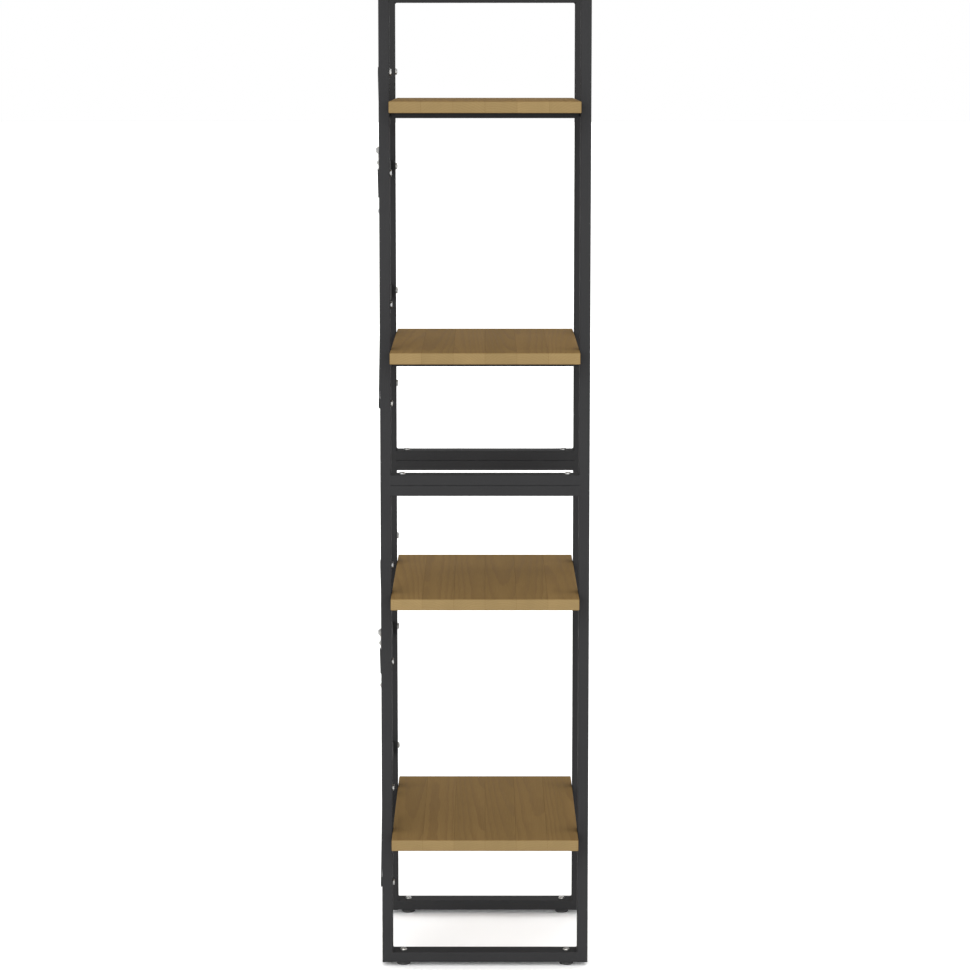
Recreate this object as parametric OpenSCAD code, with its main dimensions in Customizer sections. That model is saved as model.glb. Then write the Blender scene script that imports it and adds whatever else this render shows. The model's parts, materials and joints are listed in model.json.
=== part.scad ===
// Tall narrow bookcase with adjustable shelves, in millimetres.
// Two stacked steel modules, each of two welded end frames, carry pine boards on pins.
// +X is the open front, -X the braced back, Y runs along the shelves and Z points up.
// The origin is on the floor, under the middle of the whole bookcase.

/* [Overall] */
// Height from the floor to the top of the upper module
total_h = 1400; // [1250:5:1500]
// Depth of an end frame, from back to front
frame_w = 297; // [270:1:330]
// Distance between the middles of the left and right end frames
frame_spacing = 278; // [240:1:320]
// Height of the feet
foot_h = 6; // [5:0.5:8]

/* [Steel tube] */
// Narrow side of the tube
tube_t = 15; // [14:0.5:18]
// Wide side of the tube
tube_d = 30; // [28:1:34]
// Wall thickness of the tube
tube_wall = 1.2; // [1:0.1:1.6]
// Radius of the tube's outer corners
tube_corner = 1.4; // [1.3:0.1:2]

/* [Shelves] */
// Length of a shelf board
board_l = 400; // [380:1:420]
// Thickness of a shelf board
board_t = 16; // [15:0.5:18]
// Gap between a board and the posts, on each side
board_gap = 0.3; // [0.3:0.1:1]
// Drop from a module's top to the top of its upper shelf
shelf_drop = 155.5; // [150:0.5:160]
// Positions that each shelf can take above and below its own
spare_positions = 2; // [1:1:2]

/* [Back bracing] */
// Drop from a module's top to the upper ends of its braces
brace_drop = 116; // [112:1:118]
// Drop from a module's top to its upper tie bar
tie_drop = 256; // [250:1:262]
// Width of a brace strap
strap_w = 15; // [13:1:16]
// Thickness of a brace strap
strap_t = 1; // [0.8:0.1:1.2]
// Height of a tie bar
tie_h = 20; // [16:1:24]
// Thickness of a tie bar
tie_t = 3; // [2:0.5:4]

/* [Hidden] */
$fn = 48;
// How far a cut runs past the solid that it cuts
over = 1;

LEVELS = ["lower", "upper"];
SIDES = ["left", "right"];
FACES = ["back", "front"];
PLACES = ["bottom", "top"];
SIGNS = [-1, 1];
BOTH = [0, 1];

// One name for each post, rail, tie bar and brace strap
function post_name(level, side, face) = str(LEVELS[level], "_", SIDES[side], "_", FACES[face], "_post");
function rail_name(level, side, place) = str(LEVELS[level], "_", SIDES[side], "_", PLACES[place], "_rail");
function tie_name(level, place) = str(LEVELS[level], "_", PLACES[place], "_tie_bar");
function strap_name(level, side, kind) = str(LEVELS[level], "_", SIDES[side], "_", kind, "_strap");
function shelf_name(index, kind) = str("shelf_", index + 1, "_", kind);
function foot_name(side, face) = str(SIDES[side], "_", FACES[face], "_foot");

// Frame
module_h = (total_h - foot_h) / 2;
half_spacing = frame_spacing / 2;
half_w = frame_w / 2;
post_x = half_w - tube_t / 2;
inner_x = half_w - tube_t;
tube_corner_in = 0.5;

// Shelves: two to a module, half a module apart
shelf_spacing = module_h / 2;
pitches_in_module = 44;
hole_pitch = module_h / pitches_in_module;
board_w = 2 * (inner_x - board_gap);
channel_w = 10;
channel_h = 8;
channel_wall = 1.2;
channel_end_gap = 2;
channel_l = 2 * (inner_x - channel_end_gap);
pin_r = 2.5;
pin_fit = 0.05;
pin_out = 9;
pin_in = 8;
pin_collar_r = 3.2;
pin_collar_t = 0.8;
pin_drop = board_t + channel_wall + pin_r;
screw_r = 1.7;
screw_play = 0.2;
screw_head_r = 3.2;
screw_head_taper = 0.8;
screw_head_t = 1.6;
screw_l = 12;
SCREW_PLACES = [-85, 0, 85];
pilot_past_screw = 1.5;

// Fasteners
thread_play = 0.05;
m5_r = 2.5;
m5_hole_r = 2.75;
m5_nut_flats = 8;
m5_nut_h = 2.7;
m6_r = 3;
m6_hole_r = 3.3;
m6_nut_flats = 10;
m6_nut_h = 5;
m6_head_r = 4.9;
m6_head_h = 3;
socket_flats = 4;
socket_depth = 1.8;
rail_bolt_x = 118;
m5_past_nut = 0.3;
m6_past_nut = 1.5;
countersink_r = 4.55;
countersink_t = 2;

// Back bracing: the right-hand brace of each module lies over the left-hand one
strap_gap = 0.1;
spacer_t = strap_t + strap_gap;
spacer_inset = 0.5;
tie_past_bolt = 8;
tie_slot_play = 0.4;
brace_fall = module_h - 2 * brace_drop;
brace_l = norm([frame_spacing, brace_fall]);
rod_behind_post = 1.5;
rod_x = half_w + rod_behind_post;
anchor_flats = 10;
anchor_at = 125;
anchor_l = 6.5;
lock_nut_at = 147;
lock_nut_l = 4;
sleeve_at = 160;
sleeve_l = 48;
sleeve_r = 3.8;
sleeve_bore_r = 2.6;
end_nut_at = 229.5;
end_nut_l = 5;
rod_into_sleeve = 14;

// Feet
foot_r = 10;
foot_floor = 1;
foot_chamfer = 1;
foot_bolt_end = 1.3;

// Plugs
plug_gap = 0.1;
plug_recess = 0.2;
plug_l = 12;
plug_wall = 1.5;
plug_corner_in = 0.4;
button_r = 4.5;
button_t = 0.3;
button_stem = 4;

// The bracing reaches further back than the buttons reach forward, so the frame sits off centre
back_reach = rod_x + anchor_flats / sqrt(3);
front_reach = half_w + button_t;
frame_x = (back_reach - front_reach) / 2;

steel = [0.15, 0.15, 0.155];
pine = [0.60, 0.46, 0.28];
zinc = [0.78, 0.78, 0.76];
plastic = [0.07, 0.07, 0.07];

// ---- places ----

function module_z(level) = foot_h + level * module_h;
function side_y(side) = SIGNS[side] * half_spacing;
function tie_z(level, place) = module_z(level) + (place == 1 ? module_h - tie_drop : tie_drop);
// Shelf 1 is the top one
function shelf_z(index) = total_h - shelf_drop - index * shelf_spacing;
// Heights in a post, from its lower end
function fixing_heights() = [brace_drop, tie_drop, module_h - tie_drop, module_h - brace_drop];
function pin_heights() =
    [for (shelf = BOTH, k = [-spare_positions:spare_positions])
        module_h - shelf_drop - shelf * shelf_spacing - pin_drop + k * hole_pitch];

// ---- shapes ----

// A rectangle with round corners, made of true arcs
module round_rectangle(w, d, r) {
    square([w - 2 * r, d], center = true);
    square([w, d - 2 * r], center = true);
    for (x = SIGNS, y = SIGNS) translate([x * (w / 2 - r), y * (d / 2 - r)]) circle(r);
}

// Rectangular tube standing on its end
module tube(length) {
    linear_extrude(length) difference() {
        round_rectangle(tube_t, tube_d, tube_corner);
        round_rectangle(tube_t - 2 * tube_wall, tube_d - 2 * tube_wall, tube_corner_in);
    }
}

// Cylinder along X, from x0 to x1
module x_rod(r, x0, x1) translate([x0, 0, 0]) rotate([0, 90, 0]) cylinder(r = r, h = x1 - x0);

// Hexagonal nut standing on Z, with a round bore
module nut(flats, h, bore_r) {
    difference() {
        cylinder(r = flats / sqrt(3), h = h, $fn = 6);
        translate([0, 0, -over]) cylinder(r = bore_r, h = h + 2 * over);
    }
}

// Domed bolt head with a hexagonal socket, standing on Z
module button_head(r, h) {
    dome_r = (r * r + h * h) / (2 * h);
    difference() {
        intersection() {
            cylinder(r = r, h = h);
            translate([0, 0, h - dome_r]) sphere(dome_r, $fn = 96);
        }
        translate([0, 0, h - socket_depth])
            cylinder(r = socket_flats / sqrt(3), h = socket_depth + over, $fn = 6);
    }
}

// Moves children from the frame's own middle to the bookcase's origin
module in_frame() translate([frame_x, 0, 0]) children();

// Copies children to the four corners where a rail's bolts stand
module at_rail_bolts(z) {
    for (side = BOTH, x = SIGNS) in_frame() translate([x * rail_bolt_x, side_y(side), z]) children();
}

// Puts children on a brace: Z runs down the brace from its upper end, which is on that side
module on_brace(level, side) {
    in_frame() translate([0, side_y(side), module_z(level) + module_h - brace_drop])
        rotate([atan2(SIGNS[side] * frame_spacing, -brace_fall), 0, 0]) children();
}

// ---- welded end frames ----

module post(level, side, face) {
    outward = SIGNS[face];
    color(steel) in_frame() translate([outward * post_x, side_y(side), module_z(level)]) difference() {
        tube(module_h);
        // Shelf-pin holes, through the inner wall only
        for (z = pin_heights()) translate([0, 0, z])
            rotate([0, -outward * 90, 0]) cylinder(r = pin_r + pin_fit, h = tube_t);
        for (z = fixing_heights()) translate([0, 0, z]) {
            // Back posts are drilled right through, front posts through the outer wall only
            if (face == 0) x_rod(m5_hole_r, -tube_t, tube_t);
            else x_rod(m5_hole_r, 0, tube_t);
        }
        if (face == 0) for (z = [tie_drop, module_h - tie_drop]) translate([0, 0, z]) {
            // Slot where the tie bar enters, and the countersink for its bolt
            translate([0, -SIGNS[side] * tube_d / 2, 0])
                cube([tie_t + tie_slot_play, 2 * (tube_wall + over), tie_h + tie_slot_play], center = true);
            sink_play = 2 * thread_play;
            translate([-tube_t / 2 - thread_play, 0, 0]) rotate([0, 90, 0])
                cylinder(r1 = countersink_r + sink_play, r2 = m5_r + sink_play, h = countersink_t);
        }
    }
}

module rail(level, side, place) {
    z = module_z(level) + (place == 1 ? module_h - tube_t / 2 : tube_t / 2);
    color(steel) in_frame() translate([0, side_y(side), z]) difference() {
        translate([-inner_x, 0, 0]) rotate([0, 90, 0]) tube(2 * inner_x);
        // Bottom rails are drilled right through, the lower module's top rails through the upper wall only
        for (x = SIGNS) translate([x * rail_bolt_x, 0, 0]) {
            if (place == 0) cylinder(r = m6_hole_r, h = 2 * tube_t, center = true);
            if (place == 1 && level == 0) cylinder(r = m6_hole_r, h = tube_t);
        }
    }
}

// Cup-shaped plugs, a hair below flush in both ends of every post
module post_end_plugs() {
    w = tube_t - 2 * tube_wall - 2 * plug_gap;
    d = tube_d - 2 * tube_wall - 2 * plug_gap;
    r = tube_corner_in;
    color(plastic) for (level = BOTH, side = BOTH, face = SIGNS, end = BOTH)
        in_frame() translate([face * post_x, side_y(side), module_z(level) + end * module_h])
            mirror([0, 0, end]) translate([0, 0, plug_recess]) difference() {
                linear_extrude(plug_l) round_rectangle(w, d, r);
                translate([0, 0, plug_wall]) linear_extrude(plug_l)
                    round_rectangle(w - 2 * plug_wall, d - 2 * plug_wall, plug_corner_in);
            }
}

// Low buttons that close the spare holes in the front posts
module hole_plugs() {
    color(plastic) for (level = BOTH, side = BOTH, z = fixing_heights())
        in_frame() translate([half_w, side_y(side), module_z(level) + z]) {
            x_rod(button_r, 0, button_t);
            x_rod(m5_hole_r - thread_play, -button_stem, 0);
        }
}

// ---- bolts through the rails ----

module stacking_bolts() {
    reach = tube_t + tube_wall + m6_nut_h + m6_past_nut;
    color(zinc) at_rail_bolts(module_z(1) + tube_t) {
        button_head(m6_head_r, m6_head_h);
        translate([0, 0, -reach]) cylinder(r = m6_r, h = reach);
    }
}

// Nuts welded inside the lower module's top rails, so that nothing shows below
module stacking_nuts() {
    color(zinc) at_rail_bolts(module_z(1) - tube_wall - m6_nut_h)
        nut(m6_nut_flats, m6_nut_h, m6_r + thread_play);
}

module foot_bolts() {
    reach = tube_t + foot_h - foot_bolt_end;
    color(zinc) at_rail_bolts(foot_h + tube_t) {
        button_head(m6_head_r, m6_head_h);
        translate([0, 0, -reach]) cylinder(r = m6_r, h = reach);
    }
}

module foot(side, face) {
    color(plastic) in_frame() translate([SIGNS[face] * rail_bolt_x, side_y(side), 0]) difference() {
        union() {
            cylinder(r1 = foot_r - foot_chamfer, r2 = foot_r, h = foot_chamfer);
            translate([0, 0, foot_chamfer]) cylinder(r = foot_r, h = foot_h - foot_chamfer);
        }
        translate([0, 0, foot_floor]) cylinder(r = m6_r + thread_play, h = foot_h);
    }
}

// ---- shelves ----

// Copies children to a shelf's two support channels, at the underside of its board
module at_channels(index) {
    for (side = BOTH) in_frame() translate([0, side_y(side), shelf_z(index) - board_t]) children();
}

module board(index) {
    color(pine) difference() {
        in_frame() translate([-board_w / 2, -board_l / 2, shelf_z(index) - board_t])
            cube([board_w, board_l, board_t]);
        at_channels(index) for (x = SCREW_PLACES) translate([x, 0, -over])
            cylinder(r = screw_r + thread_play, h = over + screw_l - channel_wall + pilot_past_screw);
    }
}

// Inverted channels: the web is under the board, and the pins lie between the flanges
module channels(index) {
    color(steel) at_channels(index) difference() {
        translate([-channel_l / 2, -channel_w / 2, -channel_h]) cube([channel_l, channel_w, channel_h]);
        translate([-channel_l / 2 - over, -channel_w / 2 + channel_wall, -channel_h - over])
            cube([channel_l + 2 * over, channel_w - 2 * channel_wall, channel_h - channel_wall + over]);
        for (x = SCREW_PLACES) translate([x, 0, -channel_wall - over])
            cylinder(r = screw_r + screw_play, h = channel_wall + 2 * over);
    }
}

module screws(index) {
    color(zinc) at_channels(index) for (x = SCREW_PLACES) translate([x, 0, -channel_wall]) {
        cylinder(r = screw_r, h = screw_l);
        translate([0, 0, -screw_head_t])
            cylinder(r1 = screw_head_r - screw_head_taper, r2 = screw_head_r, h = screw_head_t);
    }
}

// Four pins to a shelf, each with a collar against the post
module shelf_pins() {
    color(steel) for (index = [0:3], side = BOTH, face = SIGNS)
        in_frame() translate([face * inner_x, side_y(side), shelf_z(index) - pin_drop])
            rotate([0, -face * 90, 0]) {
                translate([0, 0, -pin_in]) cylinder(r = pin_r, h = pin_in + pin_out);
                cylinder(r = pin_collar_r, h = pin_collar_t);
            }
}

// ---- back tie bars ----

module tie_bar(level, place) {
    reach = half_spacing + tie_past_bolt;
    color(steel) in_frame() translate([-post_x, 0, tie_z(level, place)]) difference() {
        cube([tie_t, 2 * reach, tie_h], center = true);
        for (y = SIGNS) translate([0, y * half_spacing, 0]) x_rod(m5_hole_r, -tie_t, tie_t);
    }
}

// Countersunk bolts, flush with the back of the posts
module tie_bolts() {
    color(steel) for (level = BOTH, side = BOTH, place = BOTH)
        in_frame() translate([-half_w, side_y(side), tie_z(level, place)]) rotate([0, 90, 0]) {
            cylinder(r = m5_r, h = tube_t + m5_nut_h + m5_past_nut);
            cylinder(r1 = countersink_r, r2 = m5_r, h = countersink_t);
        }
}

module back_nuts() {
    color(zinc) for (level = BOTH, side = BOTH, z = fixing_heights())
        in_frame() translate([-inner_x, side_y(side), module_z(level) + z])
            rotate([0, 90, 0]) nut(m5_nut_flats, m5_nut_h, m5_r + thread_play);
}

// ---- diagonal braces ----

// Height of a strap's underside above the back of the posts
function strap_lift(side) = side * spacer_t;

// Flat strap on a brace from z0 to z1, rounded and drilled at its bolted end
module strap(side, z0, z1, end) {
    color(steel) translate([-half_w - strap_lift(side) - strap_t, 0, 0]) rotate([0, 90, 0])
        linear_extrude(strap_t) difference() {
            union() {
                translate([-z1, -strap_w / 2]) square([z1 - z0, strap_w]);
                translate([-end, 0]) circle(strap_w / 2);
            }
            translate([-end, 0]) circle(m5_hole_r);
        }
}

module short_strap(level, side) on_brace(level, side) strap(side, 0, anchor_at, 0);

module long_strap(level, side) on_brace(level, side) strap(side, end_nut_at + end_nut_l, brace_l, brace_l);

// Copies children to the four braces' tension rods, on the rods' own axis
module at_tension_rods() {
    for (level = BOTH, side = BOTH) on_brace(level, side) translate([-rod_x, 0, 0]) children();
}

// Nuts welded to the ends of the short straps
module tension_anchors() {
    color(zinc) at_tension_rods() translate([0, 0, anchor_at])
        nut(anchor_flats, anchor_l, m5_r + thread_play);
}

// Lock nuts against the sleeves, and nuts welded to the ends of the long straps
module tension_nuts() {
    color(zinc) at_tension_rods() {
        translate([0, 0, lock_nut_at]) nut(m5_nut_flats, lock_nut_l, m5_r + thread_play);
        translate([0, 0, end_nut_at]) nut(m5_nut_flats, end_nut_l, m5_r + thread_play);
    }
}

module tension_rods() {
    color(zinc) at_tension_rods() {
        translate([0, 0, anchor_at]) cylinder(r = m5_r, h = sleeve_at + rod_into_sleeve - anchor_at);
        translate([0, 0, sleeve_at + sleeve_l - rod_into_sleeve])
            cylinder(r = m5_r, h = end_nut_at + end_nut_l - sleeve_at - sleeve_l + rod_into_sleeve);
    }
}

module tension_sleeves() {
    color(steel) at_tension_rods() translate([0, 0, sleeve_at]) difference() {
        cylinder(r = sleeve_r, h = sleeve_l);
        translate([0, 0, -over]) cylinder(r = sleeve_bore_r, h = sleeve_l + 2 * over);
    }
}

// Flush studs pressed into the straps' ends
module brace_studs() {
    color(steel) for (level = BOTH, side = BOTH, z = [0, brace_l]) on_brace(level, side)
        translate([-half_w - strap_lift(side) - strap_t, 0, z])
            x_rod(m5_r, 0, strap_lift(side) + strap_t + tube_t + m5_nut_h + m5_past_nut);
}

// Spacers under the ends of the outer braces
module brace_spacers() {
    color(steel) for (level = BOTH, z = [0, brace_l]) on_brace(level, 1)
        translate([-half_w - spacer_t, 0, z]) difference() {
            x_rod(strap_w / 2 - spacer_inset, 0, spacer_t);
            x_rod(m5_hole_r, -over, spacer_t + over);
        }
}

for (level = BOTH, side = BOTH, face = BOTH)
    post(level, side, face);
for (level = BOTH, side = BOTH, place = BOTH)
    rail(level, side, place);
for (level = BOTH, place = BOTH)
    tie_bar(level, place);
for (level = BOTH, side = BOTH) {
    short_strap(level, side);
    long_strap(level, side);
}
for (index = [0:3]) {
    board(index);
    channels(index);
    screws(index);
}
for (side = BOTH, face = BOTH)
    foot(side, face);
shelf_pins();
post_end_plugs();
hole_plugs();
stacking_bolts();
stacking_nuts();
foot_bolts();
tie_bolts();
brace_studs();
brace_spacers();
back_nuts();
tension_anchors();
tension_rods();
tension_nuts();
tension_sleeves();
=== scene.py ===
# Looks of a tall, narrow bookcase: two stacked modules of black steel tube, and four pine boards.
# Lengths are in metres. +X is the open front, -X the braced back, Y runs along the shelves.
import json
import math

import bmesh
import bpy
from mathutils import Matrix, Vector


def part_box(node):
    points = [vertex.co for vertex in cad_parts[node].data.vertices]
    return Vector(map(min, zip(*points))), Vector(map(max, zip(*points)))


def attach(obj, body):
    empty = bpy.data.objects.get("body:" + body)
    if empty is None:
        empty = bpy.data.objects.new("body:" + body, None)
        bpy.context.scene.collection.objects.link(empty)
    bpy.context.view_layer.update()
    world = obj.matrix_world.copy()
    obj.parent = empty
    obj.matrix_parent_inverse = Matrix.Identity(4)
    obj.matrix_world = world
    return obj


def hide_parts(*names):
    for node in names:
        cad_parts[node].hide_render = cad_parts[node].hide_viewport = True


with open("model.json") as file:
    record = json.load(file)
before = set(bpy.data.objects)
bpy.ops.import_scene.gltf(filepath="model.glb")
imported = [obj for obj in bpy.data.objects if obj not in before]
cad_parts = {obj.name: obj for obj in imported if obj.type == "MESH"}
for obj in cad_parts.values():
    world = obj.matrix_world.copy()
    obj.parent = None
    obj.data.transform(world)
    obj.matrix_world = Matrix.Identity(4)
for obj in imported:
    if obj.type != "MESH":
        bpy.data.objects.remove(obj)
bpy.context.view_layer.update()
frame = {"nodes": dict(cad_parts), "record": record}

MM = 0.001
LEVELS = ("lower", "upper")
SIDES = ("left", "right")
FACES = ("back", "front")
SHELVES = (1, 2, 3, 4)

# Steps round a circle: six and four divide it, so that hexagons and crosses fit
ROUND_STEPS = 36
WELD_DISTANCE = 0.02 * MM
SHARP_ANGLE = math.radians(32)

# Boards
STAVES = 6
EASE = 1.2 * MM
EASE_STEPS = 4
GLUE_LINE_HALF = 0.18 * MM
GLUE_LINE_DEPTH = 0.16 * MM

# Support channels under the boards
CHANNEL_WALL = 1.2 * MM
BEND_OUTSIDE = 1.6 * MM
BEND_STEPS = 5

# Threads. The depth is a share of the pitch, and so is half of the flat on a crest or a root
M5_RADIUS = 2.5 * MM
M5_PITCH = 0.8 * MM
M6_RADIUS = 3 * MM
M6_PITCH = 1 * MM
THREAD_DEPTH = 0.6134
THREAD_FLAT_HALF = 0.06

# Weld beads in the frames' inner corners
BEAD_LEG = 2 * MM
BEAD_RIPPLE = 1.7 * MM
BEAD_RIPPLE_DEPTH = 0.10
BEAD_FADE = 1.5 * MM
BEAD_END_LEG = 0.35
BEAD_INSET = 1.5 * MM

# Ground welds on the faces of the end frames
WELD_OVER_POST = 2 * MM
WELD_OVER_RAIL = 0.8 * MM
WELD_SUNK = 1.5 * MM
WELD_CROWN = 0.12 * MM
WELD_STEPS = 6

# Round corner of the steel tube
TUBE_CORNER = 1.4 * MM

# Light that the room gives from every side, as a share of what its white backdrop shows
ROOM_GLOW = 0.7


# ---- places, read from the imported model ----


def middle_of(node):
    low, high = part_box(node)
    return (low + high) / 2


def solids(node):
    """The separate solids of a CAD node, each as the list of its points."""
    mesh = bmesh.new()
    mesh.from_mesh(frame["nodes"][node].data)
    bmesh.ops.remove_doubles(mesh, verts=mesh.verts, dist=WELD_DISTANCE)
    found = []
    seen = set()
    for first in mesh.verts:
        if first in seen:
            continue
        seen.add(first)
        waiting = [first]
        points = []
        while waiting:
            vert = waiting.pop()
            points.append(vert.co.copy())
            for edge in vert.link_edges:
                other = edge.other_vert(vert)
                if other not in seen:
                    seen.add(other)
                    waiting.append(other)
        found.append(points)
    mesh.free()
    return found


def span(points, axis):
    """Lowest and highest reach of points along an axis."""
    reach = [point.dot(axis) for point in points]
    return min(reach), max(reach)


def centre(points):
    low = Vector([min(point[k] for point in points) for k in range(3)])
    high = Vector([max(point[k] for point in points) for k in range(3)])
    return (low + high) / 2


X_AXIS = Vector((1, 0, 0))
Y_AXIS = Vector((0, 1, 0))
Z_AXIS = Vector((0, 0, 1))
FRAME_MIDDLE_X = (middle_of("lower_left_back_post").x + middle_of("lower_left_front_post").x) / 2
INNER_BACK_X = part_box("lower_left_back_post")[1].x
INNER_FRONT_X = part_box("lower_left_front_post")[0].x
SHELF_PITCH = middle_of("shelf_1_board").z - middle_of("shelf_2_board").z


# ---- meshes ----


def ring(radius, height, sides=ROUND_STEPS, flats=0, ribs=0, rib_depth=0):
    """A closed ring about Z. With flats it is a hexagon of that size across them, and ribs wave it
    all round."""
    points = []
    for k in range(sides):
        angle = 2 * math.pi * k / sides
        reach = radius
        if flats:
            off_flat = (angle % (math.pi / 3)) - math.pi / 6
            reach = flats / 2 / math.cos(off_flat)
        if ribs:
            reach -= rib_depth * (1 - math.cos(ribs * angle)) / 2
        points.append(Vector((reach * math.cos(angle), reach * math.sin(angle), height)))
    return points


def skin(rings, ends="capped"):
    """Vertices and faces over rings of equal counts. The ends are capped, or joined to each other."""
    count = len(rings[0])
    verts = [point for points in rings for point in points]
    faces = []
    loops = len(rings) if ends == "joined" else len(rings) - 1
    for low in range(loops):
        here = low * count
        there = (low + 1) % len(rings) * count
        for k in range(count):
            after = (k + 1) % count
            faces.append((here + k, here + after, there + after, there + k))
    if ends == "capped":
        faces.append(tuple(reversed(range(count))))
        faces.append(tuple(range(len(verts) - count, len(verts))))
    return verts, faces


def turned(profile, ends="capped", sides=ROUND_STEPS):
    """A solid turned about Z from (radius, height) pairs."""
    return skin([ring(radius, height, sides) for radius, height in profile], ends)


def placed(shape, matrix):
    verts, faces = shape
    return [matrix @ vert for vert in verts], faces


def standing_on(point, axis):
    """Matrix that takes Z to an axis, and the origin to a point."""
    return Matrix.Translation(point) @ Z_AXIS.rotation_difference(axis).to_matrix().to_4x4()


def lying_along(points, axis):
    """Length of a CAD solid along an axis, and the matrix that takes a shape turned about Z there."""
    low, high = span(points, axis)
    length = high - low
    return length, standing_on(centre(points) - axis * length / 2, axis)


def piece(name, shapes, material, body, nodes=()):
    """One object made of shapes, which rides on a body and may stand for CAD nodes."""
    verts = []
    faces = []
    for shape_verts, shape_faces in shapes:
        start = len(verts)
        verts += shape_verts
        faces += [tuple(start + k for k in face) for face in shape_faces]
    mesh = bpy.data.meshes.new(name)
    mesh.from_pydata(verts, [], faces)
    fixer = bmesh.new()
    fixer.from_mesh(mesh)
    bmesh.ops.recalc_face_normals(fixer, faces=fixer.faces)
    fixer.to_mesh(mesh)
    fixer.free()
    mesh.shade_smooth()
    mesh.set_sharp_from_angle(angle=SHARP_ANGLE)
    mesh.materials.append(material)
    thing = bpy.data.objects.new(name, mesh)
    bpy.context.scene.collection.objects.link(thing)
    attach(thing, body)
    if nodes:
        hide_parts(*nodes)
    return thing


# ---- material nodes ----


class Nodes:
    """A new node material, and short ways to add its nodes and wire them."""

    def __init__(self, name):
        self.material = bpy.data.materials.new(name)
        self.material.use_nodes = True
        self.tree = self.material.node_tree
        self.tree.nodes.clear()
        self.shader = self.add("ShaderNodeBsdfPrincipled")
        output = self.add("ShaderNodeOutputMaterial")
        self.link(self.shader.outputs["BSDF"], output.inputs["Surface"])

    def add(self, kind, **settings):
        node = self.tree.nodes.new(kind)
        for key, value in settings.items():
            setattr(node, key, value)
        return node

    def link(self, source, target):
        self.tree.links.new(source, target)

    def feed(self, target, value):
        """Wires a socket into an input, or sets the input to a number, vector or colour."""
        if isinstance(value, bpy.types.NodeSocket):
            self.link(value, target)
        else:
            target.default_value = value

    def math(self, operation, first, second=0.0):
        node = self.add("ShaderNodeMath", operation=operation)
        self.feed(node.inputs[0], first)
        self.feed(node.inputs[1], second)
        return node.outputs[0]

    def vector_math(self, operation, first, second=(0, 0, 0)):
        node = self.add("ShaderNodeVectorMath", operation=operation)
        self.feed(node.inputs[0], first)
        self.feed(node.inputs[1], second)
        return node.outputs["Value" if operation == "LENGTH" else "Vector"]

    def ramp(self, value, source, target=(0, 1), smooth=False):
        """Maps a value from one range to another, held at the ends."""
        node = self.add("ShaderNodeMapRange", clamp=True)
        node.interpolation_type = "SMOOTHSTEP" if smooth else "LINEAR"
        for socket, number in zip(node.inputs, (value, *source, *target)):
            self.feed(socket, number)
        return node.outputs["Result"]

    def place(self):
        return self.add("ShaderNodeTexCoord").outputs["Object"]

    def parts(self, vector):
        node = self.add("ShaderNodeSeparateXYZ")
        self.link(vector, node.inputs[0])
        return node.outputs[0], node.outputs[1], node.outputs[2]

    def vector(self, x, y, z):
        node = self.add("ShaderNodeCombineXYZ")
        for socket, value in zip(node.inputs, (x, y, z)):
            self.feed(socket, value)
        return node.outputs[0]

    def noise(self, where, scale, detail=2.0, roughness=0.5):
        node = self.add("ShaderNodeTexNoise")
        self.link(where, node.inputs["Vector"])
        node.inputs["Scale"].default_value = scale
        node.inputs["Detail"].default_value = detail
        node.inputs["Roughness"].default_value = roughness
        return node.outputs["Fac"]

    def mix(self, factor, first, second, blend="MIX"):
        """Mixes two colours, by a factor from 0, the first alone, to 1, the full effect of the second."""
        node = self.add("ShaderNodeMix", data_type="RGBA", blend_type=blend)
        self.feed(node.inputs["Factor"], factor)
        # The colour sockets come after those for numbers and vectors
        self.feed(node.inputs[6], first)
        self.feed(node.inputs[7], second)
        return node.outputs[2]

    def bump(self, height, distance, strength=1.0):
        node = self.add("ShaderNodeBump")
        node.inputs["Strength"].default_value = strength
        node.inputs["Distance"].default_value = distance
        self.link(height, node.inputs["Height"])
        self.link(node.outputs["Normal"], self.shader.inputs["Normal"])

    def set(self, **values):
        """Sets or wires inputs of the shader, named with underscores for spaces."""
        for key, value in values.items():
            self.feed(self.shader.inputs[key.replace("_", " ")], value)


def grey(level, tint=0.0):
    return (level, level, level * (1 + tint), 1)


# ---- materials ----


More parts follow.
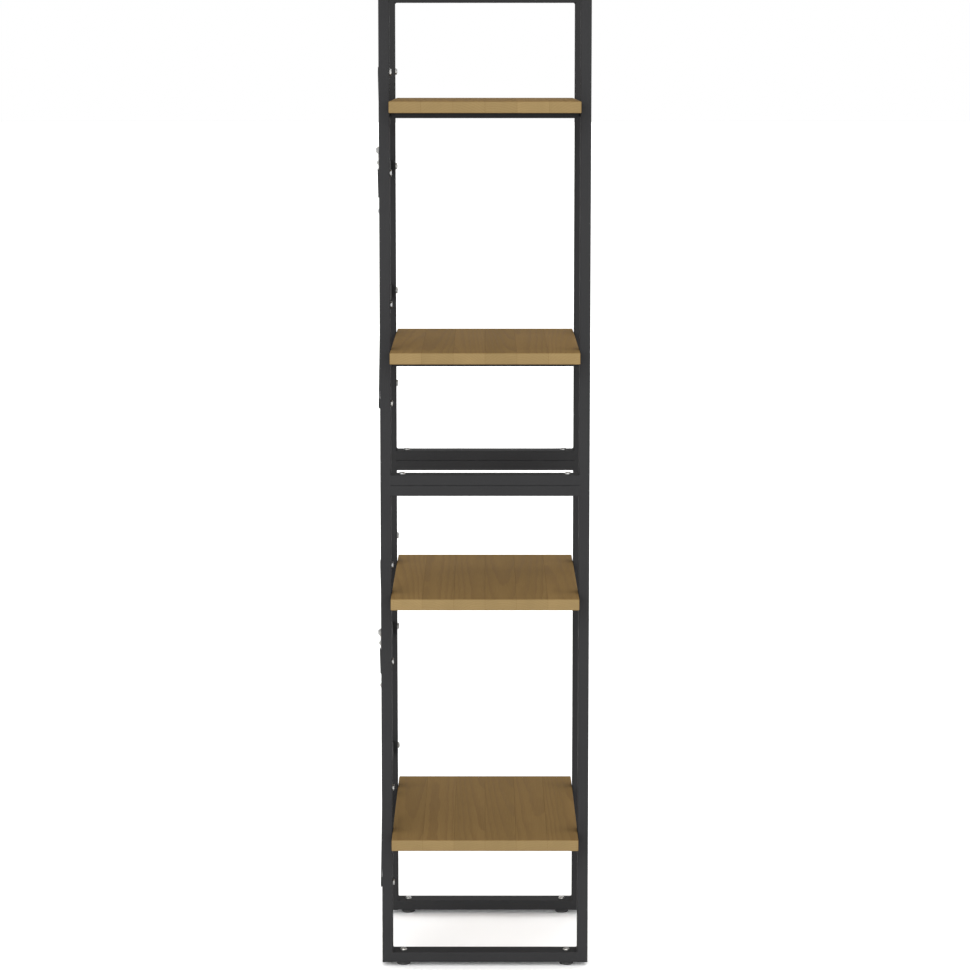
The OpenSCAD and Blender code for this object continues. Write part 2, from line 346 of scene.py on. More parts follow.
def powder_coat():
    """Fine matt black powder coat: a faint orange peel, dust-fine grain, and a lighter grey in patches on
    the rounded corners, partly thinner paint and partly a painted edge highlight.
    """
    darker_paint = grey(0.0178, tint=0.03)
    lighter_paint = grey(0.0210, tint=0.03)
    speck = grey(0.029, tint=0.02)
    # Lighter grey for the rounded corners: partly thinner paint, partly a painted edge highlight
    thin_paint_and_edge_highlight_grey = grey(0.030, tint=0.02)
    nodes = Nodes("black_powder_coat")
    where = nodes.place()
    peel = nodes.noise(where, scale=420, detail=1)
    grain = nodes.noise(where, scale=2600, roughness=0.6)
    cloud = nodes.noise(where, scale=9, detail=3)
    # A corner is where the surface faces none of the three axes squarely
    facing = nodes.add("ShaderNodeNewGeometry").outputs["Normal"]
    x, y, z = nodes.parts(nodes.vector_math("ABSOLUTE", facing))
    squareness = nodes.math("MAXIMUM", nodes.math("MAXIMUM", x, y), z)
    corner = nodes.ramp(squareness, (0.80, 0.97), (1, 0), smooth=True)
    blotch = nodes.noise(where, scale=60, detail=3, roughness=0.6)
    patchy = nodes.ramp(blotch, (0.42, 0.68), smooth=True)
    # Painted edge highlight, partly thinner paint: the lighter grey goes on the rounded corners, in patches
    thin_paint_and_edge_highlight = nodes.math("MULTIPLY", nodes.math("MULTIPLY", corner, patchy), 0.55)
    paint = nodes.mix(nodes.ramp(cloud, (0.3, 0.7)), darker_paint, lighter_paint)
    speckled = nodes.mix(nodes.ramp(grain, (0.45, 0.62), (0, 0.35)), paint, speck)
    nodes.set(Base_Color=nodes.mix(thin_paint_and_edge_highlight, speckled, thin_paint_and_edge_highlight_grey))
    matt = nodes.ramp(cloud, (0.3, 0.7), (0.66, 0.74))
    nodes.set(Roughness=nodes.math("SUBTRACT", matt, nodes.math("MULTIPLY", thin_paint_and_edge_highlight, 0.12)))
    nodes.set(Specular_IOR_Level=0.04)
    height = nodes.math("ADD", nodes.math("MULTIPLY", peel, 0.7), nodes.math("MULTIPLY", grain, 0.3))
    nodes.bump(height, distance=0.05 * MM, strength=0.6)
    return nodes.material


def late_wood(nodes, own_place, from_middle, along, height, chances):
    """How far each point lies in the dark late wood of its year, from 0 to 1. The rings lie about a
    pith, which is beyond the stave's underside and leans along the stave."""
    year_width = 3.4 * MM
    pith_off_middle = 34 * MM
    pith_nearest = 16 * MM
    pith_farthest = 70 * MM
    most_lean = 0.020
    sway_width = 12 * MM
    ripple_width = 1.6 * MM
    first, second, third = nodes.parts(chances)
    pith_x = nodes.ramp(first, (0, 1), (-pith_off_middle, pith_off_middle))
    pith_z = nodes.ramp(second, (0, 1), (pith_nearest, pith_farthest))
    lean = nodes.ramp(third, (0, 1), (-most_lean, most_lean))
    off_course = nodes.math("SUBTRACT", nodes.noise(own_place, scale=1), 0.5)
    sway = nodes.math("MULTIPLY", off_course, sway_width)
    ring_x = nodes.math("ADD", nodes.math("SUBTRACT", from_middle, pith_x), sway)
    ring_z = nodes.math("ADD", nodes.math("ADD", height, pith_z), nodes.math("MULTIPLY", along, lean))
    radius = nodes.vector_math("LENGTH", nodes.vector(ring_x, 0, ring_z))
    ripple = nodes.math("MULTIPLY", nodes.noise(own_place, scale=6), ripple_width)
    year = nodes.math("FRACT", nodes.math("DIVIDE", nodes.math("ADD", radius, ripple), year_width))
    late_rise = nodes.ramp(year, (0.30, 0.90), smooth=True)
    late_fall = nodes.ramp(year, (0.92, 1), (1, 0), smooth=True)
    return nodes.math("MULTIPLY", late_rise, late_fall)


def pine():
    """Stained pine, glued up from staves. Each stave is cut from its own log, whose rings run through
    it, so the rings show as long figures on the faces and as arcs on the ends."""
    # Painted light and shade: the ends get paler colours and the tops and sides darker ones
    early_face_painted_shaded = (0.151, 0.094, 0.036, 1)
    early_end_painted_lit = (0.175, 0.122, 0.055, 1)
    late_face_painted_shaded = (0.116, 0.069, 0.025, 1)
    late_end_painted_lit = (0.152, 0.104, 0.046, 1)
    glue = (0.085, 0.048, 0.018, 1)
    glue_stain_half = 0.32 * MM
    seed = 3.7
    low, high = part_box("shelf_4_board")
    stave_width = (high.x - low.x) / STAVES
    nodes = Nodes("honey_pine")
    where = nodes.place()
    x, y, z = nodes.parts(where)
    from_edge = nodes.math("SUBTRACT", x, low.x)
    across = nodes.math("DIVIDE", from_edge, stave_width)
    stave = nodes.math("FLOOR", across)
    board = nodes.math("FLOOR", nodes.math("DIVIDE", z, SHELF_PITCH))
    chance = nodes.add("ShaderNodeTexWhiteNoise", noise_dimensions="3D")
    nodes.link(nodes.vector(stave, board, seed), chance.inputs["Vector"])
    chances = chance.outputs["Color"]

    # Every stave has its own stretch of the noise, drawn out along the board
    wander = nodes.vector_math("MULTIPLY", where, (5.0, 2.2, 5.0))
    scattered = nodes.vector_math("MULTIPLY", chances, (9.0, 9.0, 9.0))
    own_place = nodes.vector_math("ADD", wander, scattered)
    stave_middle = nodes.math("MULTIPLY", nodes.math("ADD", stave, 0.5), stave_width)
    from_middle = nodes.math("SUBTRACT", from_edge, stave_middle)
    board_middle = nodes.math("MULTIPLY", nodes.math("ADD", board, 0.5), SHELF_PITCH)
    height = nodes.math("SUBTRACT", z, board_middle)
    late = late_wood(nodes, own_place, from_middle, y, height, chances)

    # Fibres run along the board
    stretched = nodes.vector_math("MULTIPLY", where, (1.0, 0.022, 1.0))
    fibre = nodes.noise(stretched, scale=950, detail=3, roughness=0.6)
    drawn_out = nodes.vector_math("MULTIPLY", own_place, (9.0, 0.35, 9.0))
    streak = nodes.noise(drawn_out, scale=1, detail=3)

    # Painted light: the ends are painted paler than the faces, as if lit more strongly
    facing_y = nodes.parts(nodes.add("ShaderNodeNewGeometry").outputs["Normal"])[1]
    painted_lit_end = nodes.ramp(nodes.math("ABSOLUTE", facing_y), (0.6, 0.95))
    early_colour = nodes.mix(painted_lit_end, early_face_painted_shaded, early_end_painted_lit)
    late_colour = nodes.mix(painted_lit_end, late_face_painted_shaded, late_end_painted_lit)
    depth = nodes.math("MULTIPLY", late, nodes.ramp(streak, (0.3, 0.7), (0.25, 0.75)))
    wood = nodes.mix(depth, early_colour, late_colour)
    tone = nodes.ramp(nodes.parts(chances)[2], (0, 1), (0.94, 1.05))
    grain = nodes.ramp(fibre, (0.3, 0.7), (0.93, 1.05))
    cloudy = nodes.ramp(streak, (0.25, 0.75), (0.94, 1.06))
    shade = nodes.math("MULTIPLY", nodes.math("MULTIPLY", tone, grain), cloudy)
    wood = nodes.mix(1.0, wood, nodes.vector(shade, shade, shade), "MULTIPLY")

    # A thin dark line where two staves are glued
    shifted = nodes.math("FRACT", nodes.math("ADD", across, 0.5))
    from_joint = nodes.math("ABSOLUTE", nodes.math("SUBTRACT", shifted, 0.5))
    line = nodes.ramp(from_joint, (0, glue_stain_half / stave_width), (0.55, 0))
    nodes.set(Base_Color=nodes.mix(line, wood, glue))
    nodes.set(Roughness=nodes.ramp(late, (0, 1), (0.84, 0.74)))
    nodes.set(Specular_IOR_Level=0.015)
    relief = nodes.math("ADD", nodes.math("MULTIPLY", fibre, 0.6), nodes.math("MULTIPLY", late, 0.4))
    nodes.bump(relief, distance=0.06 * MM, strength=0.7)
    return nodes.material


def zinc():
    """Bright zinc plate, a little uneven, with a faint warm and blue passivation."""
    bluish = (0.33, 0.335, 0.34, 1)
    warm = (0.38, 0.37, 0.34, 1)
    nodes = Nodes("bright_zinc")
    where = nodes.place()
    cloud = nodes.noise(where, scale=160, detail=3)
    fine = nodes.noise(where, scale=1500, roughness=0.6)
    nodes.set(Base_Color=nodes.mix(nodes.ramp(cloud, (0.35, 0.65)), bluish, warm))
    nodes.set(Metallic=1.0)
    nodes.set(Roughness=nodes.ramp(fine, (0.3, 0.7), (0.36, 0.48)))
    nodes.bump(fine, distance=0.02 * MM, strength=0.5)
    return nodes.material


def black_plastic():
    """Moulded black plastic with a fine spark-eroded grain."""
    darker = grey(0.012)
    lighter = grey(0.018)
    nodes = Nodes("black_plastic")
    where = nodes.place()
    grain = nodes.noise(where, scale=1800, detail=3, roughness=0.6)
    cloud = nodes.noise(where, scale=40)
    nodes.set(Base_Color=nodes.mix(nodes.ramp(cloud, (0.3, 0.7)), darker, lighter))
    nodes.set(Roughness=nodes.ramp(grain, (0.3, 0.7), (0.42, 0.56)))
    nodes.set(Specular_IOR_Level=0.4)
    nodes.bump(grain, distance=0.04 * MM, strength=0.6)
    return nodes.material


def floor_paint():
    """Plain pale floor with the slightest unevenness."""
    darker = grey(0.93)
    lighter = grey(0.95)
    nodes = Nodes("pale_floor")
    cloud = nodes.noise(nodes.place(), scale=1.5)
    nodes.set(Base_Color=nodes.mix(nodes.ramp(cloud, (0.3, 0.7)), darker, lighter))
    nodes.set(Roughness=0.85)
    nodes.set(Specular_IOR_Level=0.1)
    return nodes.material


BLACK_STEEL = powder_coat()
PINE = pine()
ZINC = zinc()
BLACK_PLASTIC = black_plastic()
BY_SLOT = {
    "black_steel": BLACK_STEEL,
    "pine_board": PINE,
    "zinc_hardware": ZINC,
    "black_plastic": BLACK_PLASTIC,
}


def paint_cad_nodes():
    """Gives every CAD node the material of its slot in the record."""
    for part in frame["record"]["subparts"]:
        node = frame["nodes"][part["node"]]
        node.data.materials.clear()
        node.data.materials.append(BY_SLOT[part["material_slot"]])


# ---- boards and what is under them ----


def quarter_arc(middle_x, middle_z, radius, start, steps):
    """Points of a quarter circle, turning left from an angle in degrees."""
    points = []
    for k in range(steps + 1):
        angle = math.radians(start + 90 * k / steps)
        points.append((middle_x + radius * math.cos(angle), middle_z + radius * math.sin(angle)))
    return points


def board_outline(half_width, half_thickness):
    """Outline across a board: eased edges, and a fine groove at each glue line on both faces."""
    side = half_width - EASE
    face = half_thickness - EASE
    glue_lines = [half_width * (2 * k / STAVES - 1) for k in range(1, STAVES)]

    def grooves(height, depth, direction):
        points = []
        for x in glue_lines[::direction]:
            points.append((x - direction * GLUE_LINE_HALF, height))
            points.append((x, height - depth))
            points.append((x + direction * GLUE_LINE_HALF, height))
        return points

    outline = quarter_arc(side, -face, EASE, 270, EASE_STEPS)
    outline += quarter_arc(side, face, EASE, 0, EASE_STEPS)
    outline += grooves(half_thickness, GLUE_LINE_DEPTH, -1)
    outline += quarter_arc(-side, face, EASE, 90, EASE_STEPS)
    outline += quarter_arc(-side, -face, EASE, 180, EASE_STEPS)
    outline += grooves(-half_thickness, -GLUE_LINE_DEPTH, 1)
    return outline


def make_board(index):
    node = f"shelf_{index}_board"
    low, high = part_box(node)
    middle = (low + high) / 2
    half = (high - low) / 2
    outline = board_outline(half.x, half.z)
    # How far in and how far from the end each ring of the eased end lies
    easing = []
    for k in range(EASE_STEPS + 1):
        angle = math.radians(90 * k / EASE_STEPS)
        easing.append((EASE * (1 - math.sin(angle)), EASE * (1 - math.cos(angle))))
    rings = [(inset, -half.y + along) for inset, along in easing]
    rings += [(inset, half.y - along) for inset, along in reversed(easing)]
    loops = []
    for inset, y in rings:
        wide = (half.x - inset) / half.x
        thick = (half.z - inset) / half.z
        loops.append([middle + Vector((x * wide, y, z * thick)) for x, z in outline])
    piece(f"pine_board_{index}", [skin(loops)], PINE, f"shelf_{index}", [node])


def channel_outline(half_width, height):
    """Outline across a folded channel, open downwards, with bent corners."""
    inside = BEND_OUTSIDE - CHANNEL_WALL
    outer = half_width - BEND_OUTSIDE
    outline = [(half_width, -height)]
    outline += quarter_arc(outer, -BEND_OUTSIDE, BEND_OUTSIDE, 0, BEND_STEPS)
    outline += quarter_arc(-outer, -BEND_OUTSIDE, BEND_OUTSIDE, 90, BEND_STEPS)
    outline += [(-half_width, -height), (-half_width + CHANNEL_WALL, -height)]
    outline += reversed(quarter_arc(-outer, -BEND_OUTSIDE, inside, 90, BEND_STEPS))
    outline += reversed(quarter_arc(outer, -BEND_OUTSIDE, inside, 0, BEND_STEPS))
    outline += [(half_width - CHANNEL_WALL, -height)]
    return outline


def make_channels(index):
    node = f"shelf_{index}_channels"
    shapes = []
    for points in solids(node):
        x_low, x_high = span(points, X_AXIS)
        y_low, y_high = span(points, Y_AXIS)
        z_low, z_high = span(points, Z_AXIS)
        y_middle = (y_low + y_high) / 2
        outline = channel_outline((y_high - y_low) / 2, z_high - z_low)
        loops = [[Vector((x, y_middle + y, z_high + z)) for y, z in outline] for x in (x_low, x_high)]
        shapes.append(skin(loops))
    piece(f"channel_pair_{index}", shapes, BLACK_STEEL, f"shelf_{index}", [node])


# ---- fasteners ----


def thread(radius, pitch, low, high):
    """Profile of a screw thread as fine rounds, from one height to another."""
    root = radius - THREAD_DEPTH * pitch
    turns = max(1, round((high - low) / pitch))
    step = (high - low) / turns
    flat = THREAD_FLAT_HALF * step
    profile = []
    for k in range(turns):
        start = low + k * step
        middle = start + step / 2
        profile += [(root, start + flat), (radius, middle - flat)]
        profile += [(radius, middle + flat), (root, start + step - flat)]
    return profile


def hex_nut(flats, height, bore):
    """A nut whose corners are cut back by a cone at both ends, with a countersunk bore."""
    land = 0.95 * flats / 2
    lead_in = 0.35 * MM
    chamfer_angle = 30
    slope = math.tan(math.radians(chamfer_angle))
    low_edge = []
    high_edge = []
    for point in ring(0, 0, flats=flats):
        cut = (point.length - land) * slope
        low_edge.append(Vector((point.x, point.y, cut)))
        high_edge.append(Vector((point.x, point.y, height - cut)))
    rings = [ring(bore, lead_in), ring(bore + lead_in, 0), ring(land, 0), low_edge, high_edge]
    rings += [ring(land, height), ring(bore + lead_in, height), ring(bore, height - lead_in)]
    return skin(rings, "joined")


def make_nuts(name, node, axis, flats, bore):
    """Nuts in place of each solid of a CAD node, along one axis."""
    shapes = []
    for points in solids(node):
        length, place = lying_along(points, axis)
        shapes.append(placed(hex_nut(flats, length, bore), place))
    piece(name, shapes, ZINC, "frame", [node])


def button_bolt(length, radius, pitch, threaded):
    """A bolt from its tip up, with a domed head and a hexagonal socket."""
    tip = 0.6 * MM
    runout = 0.2 * MM
    head_radius = 4.9 * MM
    head_height = 3 * MM
    head_bevel = 0.15 * MM
    head_wall = 0.35 * MM
    dome_steps = 7
    socket_flats = 4 * MM
    socket_depth = 1.8 * MM
    socket_rim = 0.25 * MM
    socket_bevel = 0.15 * MM
    shank = length - head_height
    profile = [(radius - tip, 0)]
    profile += thread(radius, pitch, tip, tip + threaded)
    profile += [(radius, tip + threaded + runout), (radius, shank), (head_radius - head_bevel, shank)]
    top_radius = socket_flats / math.sqrt(3) + socket_rim
    dome_height = head_height - head_wall
    for k in range(dome_steps + 1):
        angle = math.radians(90 * k / dome_steps)
        reach = top_radius + (head_radius - top_radius) * math.cos(angle)
        profile.append((reach, shank + head_wall + dome_height * math.sin(angle)))
    rings = [ring(reach, height) for reach, height in profile]
    rings.append(ring(0, length - socket_bevel, flats=socket_flats))
    rings.append(ring(0, length - socket_depth, flats=socket_flats))
    return skin(rings)


def make_bolts(name, node, threaded):
    """Button-head bolts in place of each solid of a CAD node, heads up."""
    shapes = []
    for points in solids(node):
        length, place = lying_along(points, Z_AXIS)
        shapes.append(placed(button_bolt(length, M6_RADIUS, M6_PITCH, threaded), place))
    piece(name, shapes, ZINC, "frame", [node])


def shelf_pin(length, tail):
    """A shelf pin from its tail in the post, past a collar on the post's face, to its round nose."""
    radius = M5_RADIUS
    nose = 0.7 * MM
    nose_round = 0.3 * nose
    collar_radius = 3.2 * MM
    collar = 0.8 * MM
    collar_bevel = 0.1 * MM
    collar_round = 0.2 * MM
    profile = [(radius - nose, 0), (radius, nose), (radius, tail), (collar_radius - collar_bevel, tail)]
    profile += [(collar_radius, tail + collar_bevel), (collar_radius, tail + collar - collar_round)]
    profile += [(collar_radius - collar_round, tail + collar), (radius, tail + collar)]
    profile += [(radius, length - nose), (radius - nose_round, length - nose_round)]
    profile += [(radius - nose, length)]
    return turned(profile)


def make_shelf_pins():
    """Pins on the inner faces of the posts, each with its nose towards the middle of the frame."""
    shapes = []
    for points in solids("shelf_pins"):
        low, high = span(points, X_AXIS)
        at_back = centre(points).x < FRAME_MIDDLE_X
        axis = X_AXIS if at_back else -X_AXIS
        tail = INNER_BACK_X - low if at_back else high - INNER_FRONT_X
        length, place = lying_along(points, axis)
        shapes.append(placed(shelf_pin(length, tail), place))
    piece("shelf_support_pins", shapes, BLACK_STEEL, "frame", ["shelf_pins"])


def cross_ring(reach, half_width, height):
    """A ring about Z in the shape of a cross recess."""
    points = []
    for k in range(ROUND_STEPS):
        angle = 2 * math.pi * k / ROUND_STEPS
        off_arm = (angle + math.pi / 4) % (math.pi / 2) - math.pi / 4
        along = min(reach, half_width / max(abs(math.sin(off_arm)), half_width / reach))
        points.append(Vector((along * math.cos(angle), along * math.sin(angle), height)))
    return points


def board_screw(length):
    """A pan-head screw from its head up, with a cross recess."""
    radius = 1.7 * MM
    pitch = 0.9 * MM
    point_length = 2 * MM
    point_radius = 0.3 * MM
    head = 1.6 * MM
    head_radius = 3.2 * MM
    face_radius = 2.45 * MM
    face_rise = 0.05 * MM
    shoulder = 0.25 * MM
    shoulder_rise = 0.4 * MM
    arm = 2 * MM
    arm_half = 0.6 * MM
    arm_bevel = 0.1 * MM
    bevel_depth = 0.12 * MM
    recess_radius = 0.55 * MM
    recess_depth = 0.75 * head
    rings = [ring(recess_radius, recess_depth)]
    rings.append(cross_ring(arm - arm_bevel, arm_half - arm_bevel / 2, bevel_depth))
    rings.append(cross_ring(arm, arm_half, 0))
    rings.append(ring(face_radius, face_rise))
    rings.append(ring(head_radius - shoulder, shoulder_rise))
    rings += [ring(head_radius, head), ring(radius, head)]
    rings += [ring(reach, z) for reach, z in thread(radius, pitch, head, length - point_length)]
    rings.append(ring(point_radius, length))
    return skin(rings)


def make_board_screws(index):
    """The screws that go up through the channels into their board."""
    node = f"shelf_{index}_screws"
    shapes = []
    for points in solids(node):
        length, place = lying_along(points, Z_AXIS)
        shapes.append(placed(board_screw(length), place))
    piece(f"board_screws_{index}", shapes, ZINC, f"shelf_{index}", [node])


def tie_bolt(length):
    """A countersunk bolt from its flat head up, with a small hexagonal socket."""
    head = 2 * MM
    head_radius = 4.5 * MM
    head_bevel = 0.1 * MM
    socket_flats = 3 * MM
    socket_depth = 1.5 * MM
    socket_bevel = 0.05 * MM
    socket_mouth = 2.1 * MM
    threaded = 6 * MM
    tip = 0.4 * MM
    start = length - threaded
    rings = [ring(0, socket_depth, flats=socket_flats), ring(0, socket_bevel, flats=socket_flats)]
    rings += [ring(socket_mouth, 0), ring(head_radius - head_bevel, 0), ring(head_radius, head_bevel)]
    rings += [ring(M5_RADIUS, head), ring(M5_RADIUS, start)]
    rings += [ring(reach, z) for reach, z in thread(M5_RADIUS, M5_PITCH, start, length - tip)]
    rings.append(ring(M5_RADIUS - tip, length))
    return skin(rings)


def make_tie_bolts():
    """The bolts that hold the tie bars, flush with the backs of the posts."""
    shapes = []
    for points in solids("tie_bolts"):
        length, place = lying_along(points, X_AXIS)
        shapes.append(placed(tie_bolt(length), place))
    piece("countersunk_tie_bolts", shapes, BLACK_STEEL, "frame", ["tie_bolts"])


# ---- tensioners of the braces ----


def longest_direction(points):
    """Upward direction of a slender rod, through its middle and the middle of one end."""
    end_reach = 2.2 * M5_RADIUS
    middle = centre(points)
    far = max(points, key=lambda point: (point - middle).length)
    end = [point for point in points if (point - far).length < end_reach]
    end_middle = sum(end, Vector()) / len(end)
    axis = (end_middle - middle).normalized()
    return axis if axis.z > 0 else -axis


def distance_to_line(place, middle, axis):
    off = place - middle
    return (off - axis * off.dot(axis)).length


def nearest_rod_axis(place):
    """Direction of the tensioner rod whose line passes nearest to a place."""
    rods = [(centre(points), longest_direction(points)) for points in solids("tension_rods")]
    return min(rods, key=lambda rod: distance_to_line(place, *rod))[1]


def make_rods():
    """The tensioners' threaded rods, tapered at both ends."""
    taper = 0.5 * MM
    taper_length = 0.4 * MM
    sides = 24
    shapes = []
    for points in solids("tension_rods"):
        length, place = lying_along(points, longest_direction(points))
        profile = [(M5_RADIUS - taper, 0)]
        profile += thread(M5_RADIUS, M5_PITCH, taper_length, length - taper_length)
        profile += [(M5_RADIUS - taper, length)]
        shapes.append(placed(turned(profile, sides=sides), place))
    piece("threaded_rods", shapes, ZINC, "frame", ["tension_rods"])


def make_rod_nuts(name, node, flats):
    """Nuts on the tensioners' rods, in place of each solid of a CAD node."""
    shapes = []
    for points in solids(node):
        length, place = lying_along(points, nearest_rod_axis(centre(points)))
        shapes.append(placed(hex_nut(flats, length, M5_RADIUS), place))
    piece(name, shapes, ZINC, "frame", [node])


def make_sleeves():
    """The tensioners' sleeves, with bevelled ends and a fine groove near each end."""
    radius = 3.8 * MM
    bore = 2.6 * MM
    rim = 0.5 * MM
    groove = 0.3 * MM
    groove_from_end = 5 * MM
    shapes = []
    for points in solids("tension_sleeves"):
        length, place = lying_along(points, nearest_rod_axis(centre(points)))
        profile = [(bore, rim), (bore + rim, 0), (radius - rim, 0), (radius, rim)]
        for at in (groove_from_end, length - groove_from_end):
            profile += [(radius, at - groove), (radius - groove, at), (radius, at + groove)]
        profile += [(radius, length - rim), (radius - rim, length)]
        profile += [(bore + rim, length), (bore, length - rim)]
        shapes.append(placed(turned(profile, "joined"), place))
    piece("turning_sleeves", shapes, BLACK_STEEL, "frame", ["tension_sleeves"])


# ---- plastic pieces ----


def make_foot(side, face):
    """A foot: a ribbed pad with a bevelled sole and a rounded shoulder, screwed onto its bolt."""
    sole = 1 * MM
    sole_flat_inset = 1.6 * MM
    sole_rise = 0.15 * MM
    band = 0.5 * MM
    rib_run = 0.2 * MM
    rib_depth = 0.45 * MM
    shoulder = 1.2 * MM
    shoulder_steps = 4
    bore = M6_RADIUS + 0.05 * MM
    mouth = 0.3 * MM
    node = f"{side}_{face}_foot"
    low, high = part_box(node)
    middle = (low + high) / 2
    radius = (high.x - low.x) / 2
    height = high.z - low.z
    ribs_low = sole + band
    ribs_high = height - shoulder - rib_run
    profile = [(radius - sole_flat_inset, 0), (radius - sole, sole_rise), (radius, sole), (radius, ribs_low)]
    sides = 96
    ribs = 24
    plain = dict(sides=sides)
    ribbed = dict(sides=sides, ribs=ribs, rib_depth=rib_depth)
    rings = [ring(reach, z, **plain) for reach, z in profile]
    rings.append(ring(radius, ribs_low + rib_run, **ribbed))
    rings.append(ring(radius, ribs_high - rib_run, **ribbed))
    rings.append(ring(radius, ribs_high, **plain))
    for k in range(shoulder_steps + 1):
        angle = math.radians(90 * k / shoulder_steps)
        inset = shoulder * (1 - math.cos(angle))
        fall = shoulder * (1 - math.sin(angle))
        rings.append(ring(radius - inset, height - fall, **plain))
    rings += [ring(bore + mouth, height, **plain), ring(bore, height - mouth, **plain)]
    rings.append(ring(bore, sole, **plain))
    shape = placed(skin(rings), Matrix.Translation((middle.x, middle.y, low.z)))
    piece(f"foot_pad_{side}_{face}", [shape], BLACK_PLASTIC, node, [node])


def make_hole_buttons():
    """Low domed buttons in the spare holes of the front posts."""
    radius = 4.5 * MM
    rise = 0.3 * MM
    stem = 2.6 * MM
    stem_bevel = 0.4 * MM
    dome_steps = 5
    dome_angle = 84
    shapes = []
    for points in solids("hole_plugs"):
        length, place = lying_along(points, X_AXIS)
        base = length - rise
        profile = [(stem - stem_bevel, 0), (stem, stem_bevel), (stem, base), (radius, base)]
        for k in range(1, dome_steps + 1):
            angle = math.radians(dome_angle * k / dome_steps)
            profile.append((radius * math.cos(angle), base + rise * math.sin(angle)))
        shapes.append(placed(turned(profile), place))
    piece("hole_buttons", shapes, BLACK_PLASTIC, "frame", ["hole_plugs"])


def round_rectangle(width, depth, corner, height, steps=5):
    """A closed ring about Z in the shape of a rectangle with round corners."""
    side = width / 2 - corner
    face = depth / 2 - corner
    outline = quarter_arc(side, face, corner, 0, steps)
    outline += quarter_arc(-side, face, corner, 90, steps)
    outline += quarter_arc(-side, -face, corner, 180, steps)
    outline += quarter_arc(side, -face, corner, 270, steps)
    return [Vector((x, y, height)) for x, y in outline]


def end_plug(width, depth, length):
    """A plug from its inner end up, with an eased rim round a shallow dish in its outer face."""
    rim = 0.5 * MM
    rim_round = 0.3 * rim
    dish_inset = 2 * MM
    dish = 0.35 * MM
    corner = 0.5 * MM
    corner_growth = 0.4
    profile = [(0, 0), (0, length - rim), (rim_round, length - rim_round), (rim, length)]
    profile += [(dish_inset, length), (dish_inset + dish, length - dish)]
    rings = []
    for inset, height in profile:
        reach = max(corner, corner_growth * inset)
        rings.append(round_rectangle(width - 2 * inset, depth - 2 * inset, reach, height))
    return skin(rings)


def make_end_plugs():
    """Plugs in both ends of every post, each with its dished face outwards."""
    top_heights = [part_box(f"{level}_left_back_post")[1].z for level in LEVELS]
    nearly = 1 * MM
    shapes = []
    for points in solids("post_end_plugs"):
        low, high = span(points, Z_AXIS)
        middle = centre(points)
        width = 2 * (max(point.x for point in points) - middle.x)
        depth = 2 * (max(point.y for point in points) - middle.y)
        at_top = any(abs(high - top) < nearly for top in top_heights)
        turn = Matrix.Identity(4) if at_top else Matrix.Rotation(math.pi, 4, "X")
        start = Vector((middle.x, middle.y, low if at_top else high))
        shapes.append(placed(end_plug(width, depth, high - low), Matrix.Translation(start) @ turn))
    piece("tube_end_plugs", shapes, BLACK_PLASTIC, "frame", ["post_end_plugs"])


# ---- welds ----


def weld_bead(corner, into_x, into_z, length):
    """A fillet bead along Y in the corner between a post and a rail, with the ripples of its laying."""
    # Across the bead, in shares of its leg: sunk in both tubes, and a little hollow in front
    section = [(-0.2, -0.2), (1, -0.2), (1, 0.02), (0.62, 0.30), (0.30, 0.62), (0.02, 1), (-0.2, 1)]
    rings = []
    count = round(length / (BEAD_RIPPLE / 4))
    for k in range(count + 1):
        along = length * k / count
        ripple = 1 - BEAD_RIPPLE_DEPTH * (1 - abs(math.sin(math.pi * along / BEAD_RIPPLE)))
        fade = min(1, along / BEAD_FADE, (length - along) / BEAD_FADE)
        leg = BEAD_LEG * ripple * (BEAD_END_LEG + (1 - BEAD_END_LEG) * math.sqrt(max(0, fade)))
        rings.append([corner + Vector((into_x * x * leg, along, into_z * z * leg)) for x, z in section])
    return skin(rings)


def flush_weld(post_side, face, into_x, into_y, low, high):
    """A ground weld that fills the groove between a post's round corner and a rail's end. It follows
    the round edges of the rail, from its underside to its top."""
    round_edge = []
    for k in range(1, WELD_STEPS + 1):
        angle = math.radians(90 * k / WELD_STEPS)
        rise = TUBE_CORNER * (1 - math.cos(angle))
        depth = TUBE_CORNER * (1 - math.sin(angle))
        round_edge.append((rise, depth))
    stations = [(low + rise, depth) for rise, depth in round_edge]
    stations += [(high - rise, depth) for rise, depth in reversed(round_edge)]
    rings = []
    for z, depth in stations:
        outline = [(-WELD_OVER_POST, -WELD_SUNK), (-WELD_OVER_POST, -depth)]
        for k in range(1, WELD_STEPS):
            share = k / WELD_STEPS
            across = -WELD_OVER_POST + share * (WELD_OVER_POST + WELD_OVER_RAIL)
            outline.append((across, WELD_CROWN * math.sin(math.pi * share) - depth))
        outline += [(WELD_OVER_RAIL, -depth), (WELD_OVER_RAIL, -WELD_SUNK)]
        rings.append([Vector((post_side + into_x * x, face + into_y * y, z)) for x, y in outline])
    return skin(rings)


def rail_welds(rail, into_z):
    """Beads at both ends of a rail, on the side that faces into the frame, and ground welds on its faces."""
    low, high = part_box(rail)
    z = high.z if into_z > 0 else low.z
    length = high.y - low.y - 2 * BEAD_INSET
    shapes = []
    for x, into_x in ((low.x, 1), (high.x, -1)):
        shapes.append(weld_bead(Vector((x, low.y + BEAD_INSET, z)), into_x, into_z, length))
        for face, into_y in ((low.y, -1), (high.y, 1)):
            shapes.append(flush_weld(x, face, into_x, into_y, low.z, high.z))
    return shapes


def make_welds(level, side):
    """All the welds of one end frame."""
    shapes = rail_welds(f"{level}_{side}_bottom_rail", 1)
    shapes += rail_welds(f"{level}_{side}_top_rail", -1)
    piece(f"{level}_{side}_welds", shapes, BLACK_STEEL, "frame")


# ---- surroundings ----


def make_floor():
    radius = 60
    bpy.ops.mesh.primitive_circle_add(vertices=96, radius=radius, fill_type="NGON", location=(0, 0, 0))
    floor = bpy.context.object
    floor.name = "floor"
    floor.data.materials.append(floor_paint())


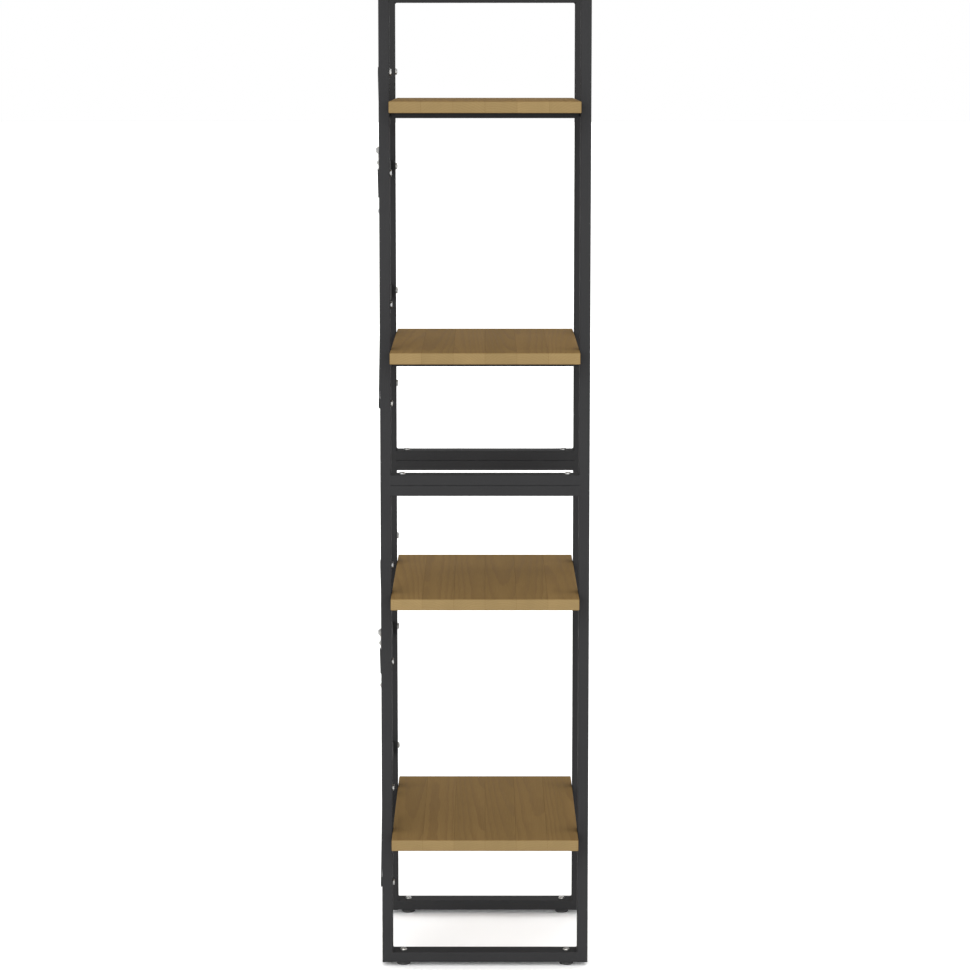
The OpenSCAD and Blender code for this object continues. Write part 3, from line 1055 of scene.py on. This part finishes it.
def make_camera():
    """Looks square-on at the narrow left end, from a little under the bookcase's own height."""
    distance = 4.35
    height = 1.303
    look_down = 7.84
    focal_length = 114.92
    data = bpy.data.cameras.new("camera")
    data.sensor_width = 36
    data.lens = focal_length
    data.clip_start = 0.1
    data.clip_end = 200
    camera = bpy.data.objects.new("camera", data)
    near_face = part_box("lower_left_back_post")[0].y
    camera.location = (FRAME_MIDDLE_X, near_face - distance, height)
    camera.rotation_euler = (math.radians(90 - look_down), 0, 0)
    bpy.context.scene.collection.objects.link(camera)
    bpy.context.scene.camera = camera


def make_light(name, azimuth, elevation, share, width):
    """A broad soft light from far off. Azimuth 0 is on the camera's side; share 1 is as much as a white
    room gives, and width is in degrees."""
    data = bpy.data.lights.new(name, "SUN")
    data.energy = share * math.pi
    data.angle = math.radians(width)
    light = bpy.data.objects.new(name, data)
    turn = math.radians(azimuth)
    rise = math.radians(elevation)
    towards = Vector((math.sin(turn) * math.cos(rise), -math.cos(turn) * math.cos(rise), math.sin(rise)))
    light.rotation_mode = "QUATERNION"
    light.rotation_quaternion = towards.to_track_quat("Z", "Y")
    light.location = towards * 5
    bpy.context.scene.collection.objects.link(light)


def make_room():
    """White backdrop over a dimmer room, with broad soft lights from above, in front and all round."""
    world = bpy.data.worlds.new("studio")
    world.use_nodes = True
    tree = world.node_tree
    background = tree.nodes["Background"]
    background.inputs["Color"].default_value = (1, 1, 1, 1)
    seen = tree.nodes.new("ShaderNodeLightPath").outputs["Is Camera Ray"]
    strength = tree.nodes.new("ShaderNodeMapRange")
    tree.links.new(seen, strength.inputs["Value"])
    strength.inputs["To Min"].default_value = ROOM_GLOW
    strength.inputs["To Max"].default_value = 1.0
    tree.links.new(strength.outputs["Result"], background.inputs["Strength"])
    bpy.context.scene.world = world
    bpy.context.scene.view_settings.view_transform = "Standard"
    make_light("overhead", azimuth=0, elevation=88, share=0.15, width=100)
    make_light("main", azimuth=-8, elevation=12, share=1.35, width=70)
    make_light("right_fill", azimuth=80, elevation=12, share=0.50, width=90)
    make_light("left_fill", azimuth=-85, elevation=12, share=0.45, width=90)
    make_light("rear_fill", azimuth=175, elevation=45, share=0.35, width=50)


make_camera()
make_room()
make_floor()
paint_cad_nodes()
for index in SHELVES:
    make_board(index)
    make_channels(index)
    make_board_screws(index)
make_bolts("stacking_bolts_m6", "stacking_bolts", threaded=9 * MM)
make_bolts("foot_bolts_m6", "foot_bolts", threaded=5 * MM)
make_nuts("nuts_on_back_posts", "back_nuts", X_AXIS, flats=8 * MM, bore=M5_RADIUS)
make_nuts("weld_nuts_in_rails", "stacking_nuts", Z_AXIS, flats=10 * MM, bore=M6_RADIUS)
make_shelf_pins()
make_tie_bolts()
make_rods()
make_rod_nuts("rod_nuts", "tension_nuts", flats=8 * MM)
make_rod_nuts("rod_anchors", "tension_anchors", flats=10 * MM)
make_sleeves()
for side in SIDES:
    for face in FACES:
        make_foot(side, face)
make_hole_buttons()
make_end_plugs()
for level in LEVELS:
    for side in SIDES:
        make_welds(level, side)
